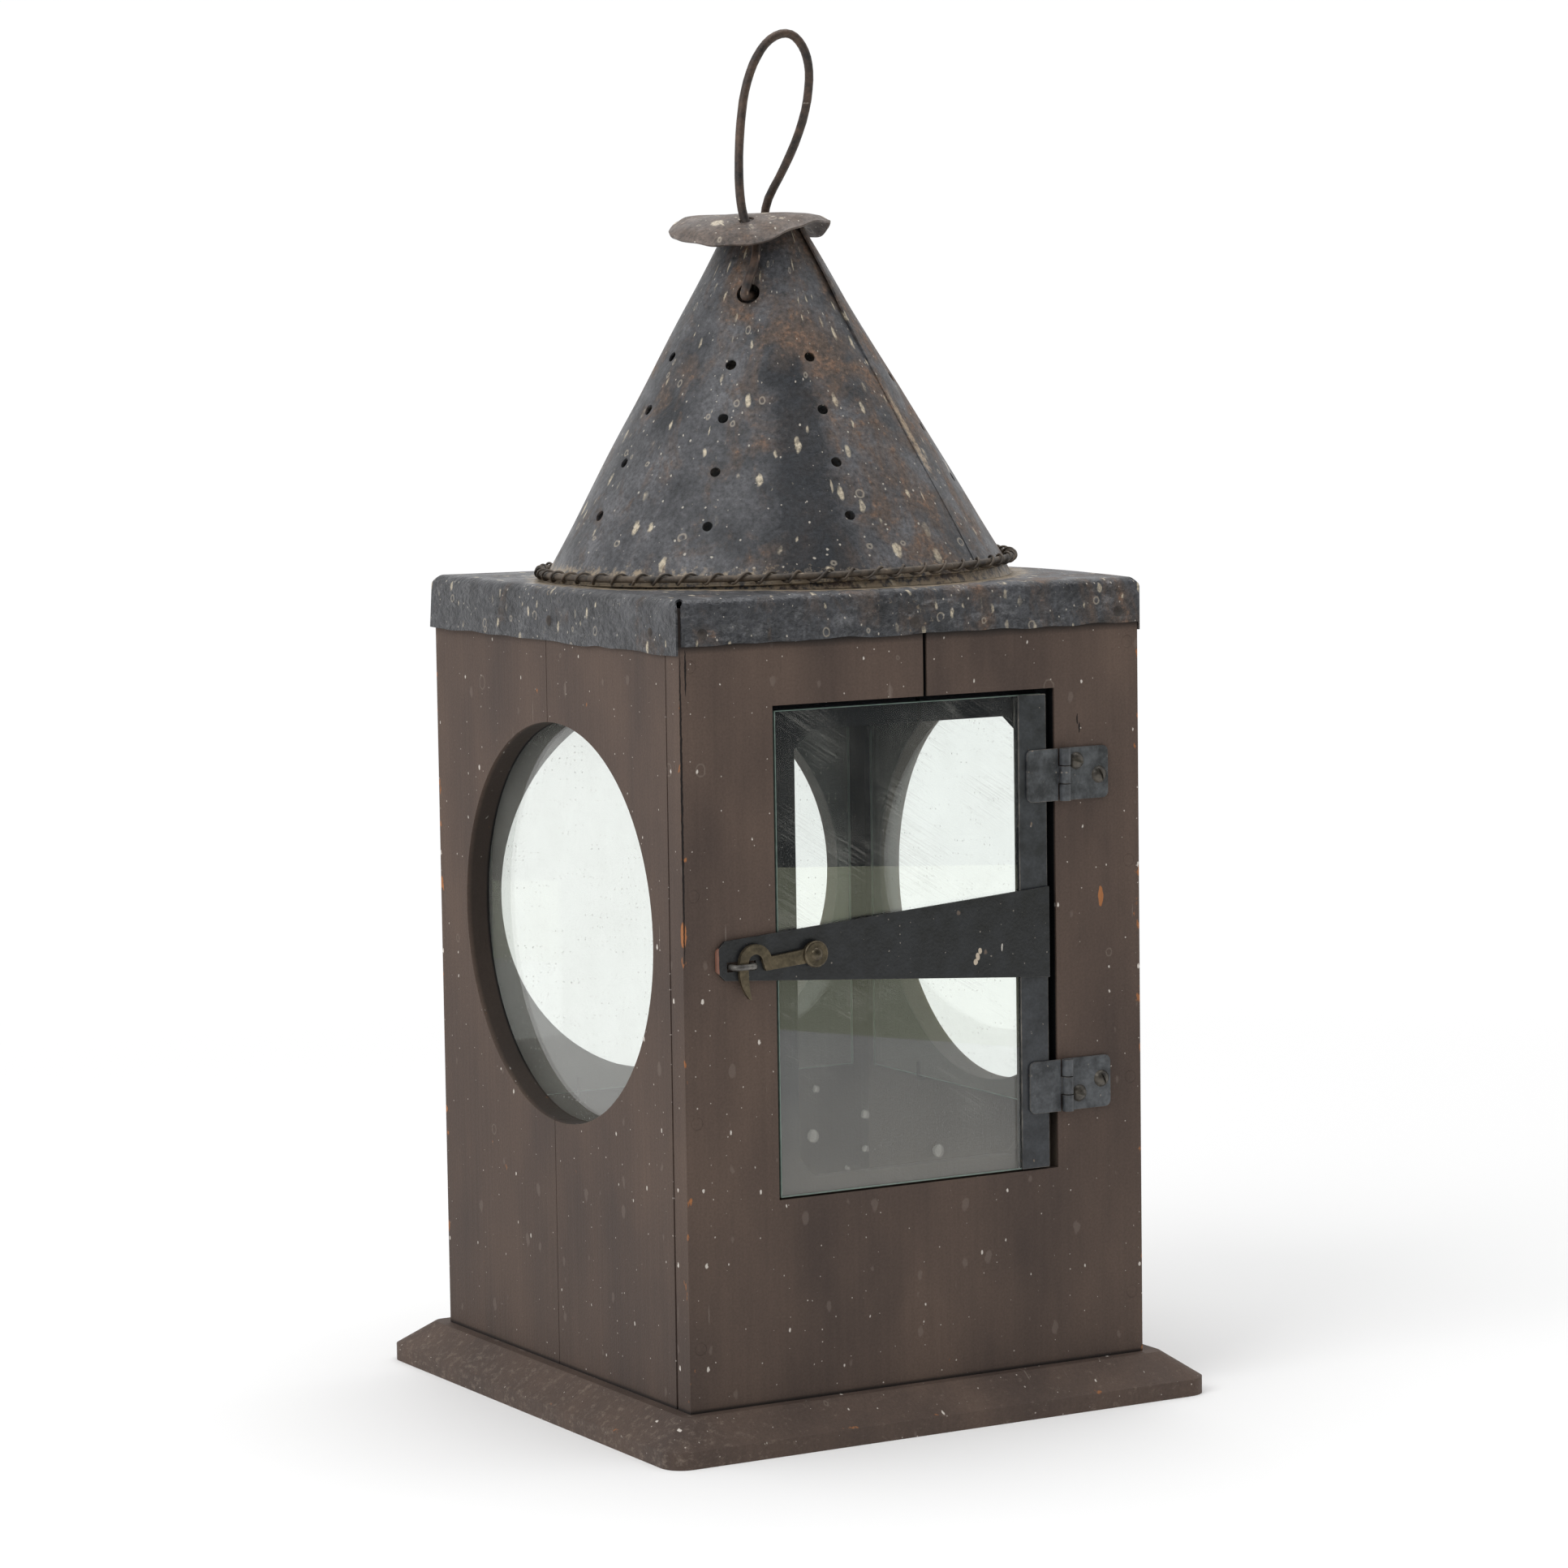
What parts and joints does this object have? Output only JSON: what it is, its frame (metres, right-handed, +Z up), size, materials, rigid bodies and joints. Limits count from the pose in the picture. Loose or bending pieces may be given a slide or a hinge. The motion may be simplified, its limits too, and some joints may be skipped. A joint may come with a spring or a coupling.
{
  "type": "candle lantern",
  "caption": "Painted square wooden candle lantern with a hinged glass door, round side windows, a punched tin cone roof, a smoke cap and a wire bail.",
  "frame": {"origin": "middle of the underside of the base board", "axes": "+Z up, -Y towards the door, +X towards the hinge side of the door"},
  "size_m": [0.235, 0.235, 0.5272],
  "materials": {
    "painted_wood": "matte worn paint",
    "glass": "clear, dusty",
    "iron_wire": "rusty",
    "blackened_tin": "matte, weathered",
    "black_strap": "satin black paint",
    "bare_tin": "dull tin",
    "dull_brass": "tarnished"
  },
  "bodies": {
    "case": {"base_board": "painted_wood", "front_left_board": "painted_wood", "front_right_board": "painted_wood", "right_front_board": "painted_wood", "right_rear_board": "painted_wood", "back_right_board": "painted_wood", "back_left_board": "painted_wood", "left_rear_board": "painted_wood", "left_front_board": "painted_wood", "left_pane": "glass", "right_pane": "glass", "back_pane": "glass", "pane_brads": "iron_wire", "case_nails": "iron_wire", "base_nails": "iron_wire", "cap_tacks": "iron_wire", "pan_tacks": "iron_wire", "tin_cap": "blackened_tin", "roof_collar": "blackened_tin", "roof_cone": "blackened_tin", "smoke_cap": "blackened_tin", "rim_wire": "iron_wire", "lacing_wire": "iron_wire", "upper_hinge_wall_leaf": "black_strap", "lower_hinge_wall_leaf": "black_strap", "upper_hinge_pin": "black_strap", "lower_hinge_pin": "black_strap", "hinge_screws": "black_strap", "drip_pan": "bare_tin", "candle_socket": "bare_tin", "latch_staple": "iron_wire"},
    "door": {"door_glass": "glass", "door_channel": "black_strap", "door_arm": "black_strap", "upper_hinge_door_leaf": "black_strap", "lower_hinge_door_leaf": "black_strap", "hook_washer": "dull_brass", "hook_rivet": "dull_brass"},
    "hook": {"latch_hook": "dull_brass"},
    "bail": {"bail_wire": "iron_wire"}
  },
  "joints": [
    {"name": "door_swing", "type": "hinge", "parent": "case", "child": "door", "pos_m": [0.0651, -0.1024, 0.1834], "axis": [0, 0, 1], "range_deg": [0, 160]},
    {"name": "hook_lift", "type": "hinge", "parent": "door", "child": "hook", "pos_m": [-0.0463, -0.1029, 0.1834], "axis": [0, 1, 0], "range_deg": [0, 150]},
    {"name": "bail_lift", "type": "slide", "parent": "case", "child": "bail", "axis": [0, 0, 1], "range_m": [0, 0.002]}
  ]
}
